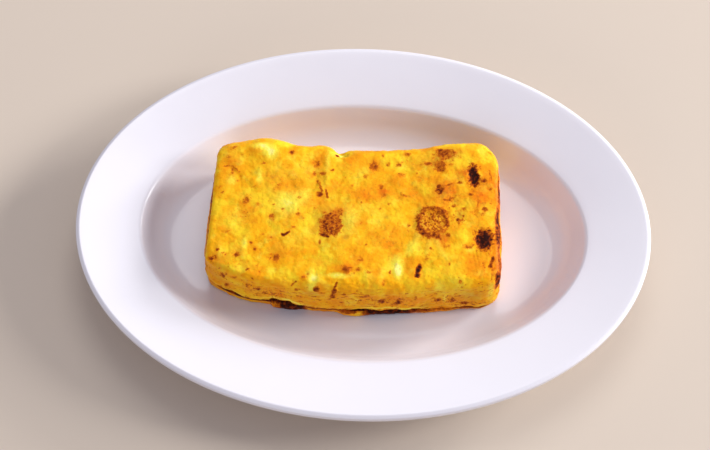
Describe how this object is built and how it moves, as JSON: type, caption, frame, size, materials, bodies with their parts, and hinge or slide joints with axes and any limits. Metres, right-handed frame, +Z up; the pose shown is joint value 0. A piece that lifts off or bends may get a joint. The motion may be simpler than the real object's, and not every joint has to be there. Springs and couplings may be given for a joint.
{
  "type": "rolled omelette on an oval plate",
  "caption": "Browned egg omelette rolled into a flat oblong, lying in the well of a white oval plate with a broad, gently rising rim.",
  "frame": {"origin": "middle of the plate's foot ring, on the surface that the plate stands on", "axes": "+X along the plate's long side and along the roll, +Y to its back edge, away from the seam, +Z up"},
  "size_m": [0.26, 0.187, 0.0352],
  "materials": {
    "glaze": "gloss",
    "egg": "satin"
  },
  "bodies": {
    "root": {"plate": "glaze", "rolled_omelette": "egg"}
  },
  "joints": []
}
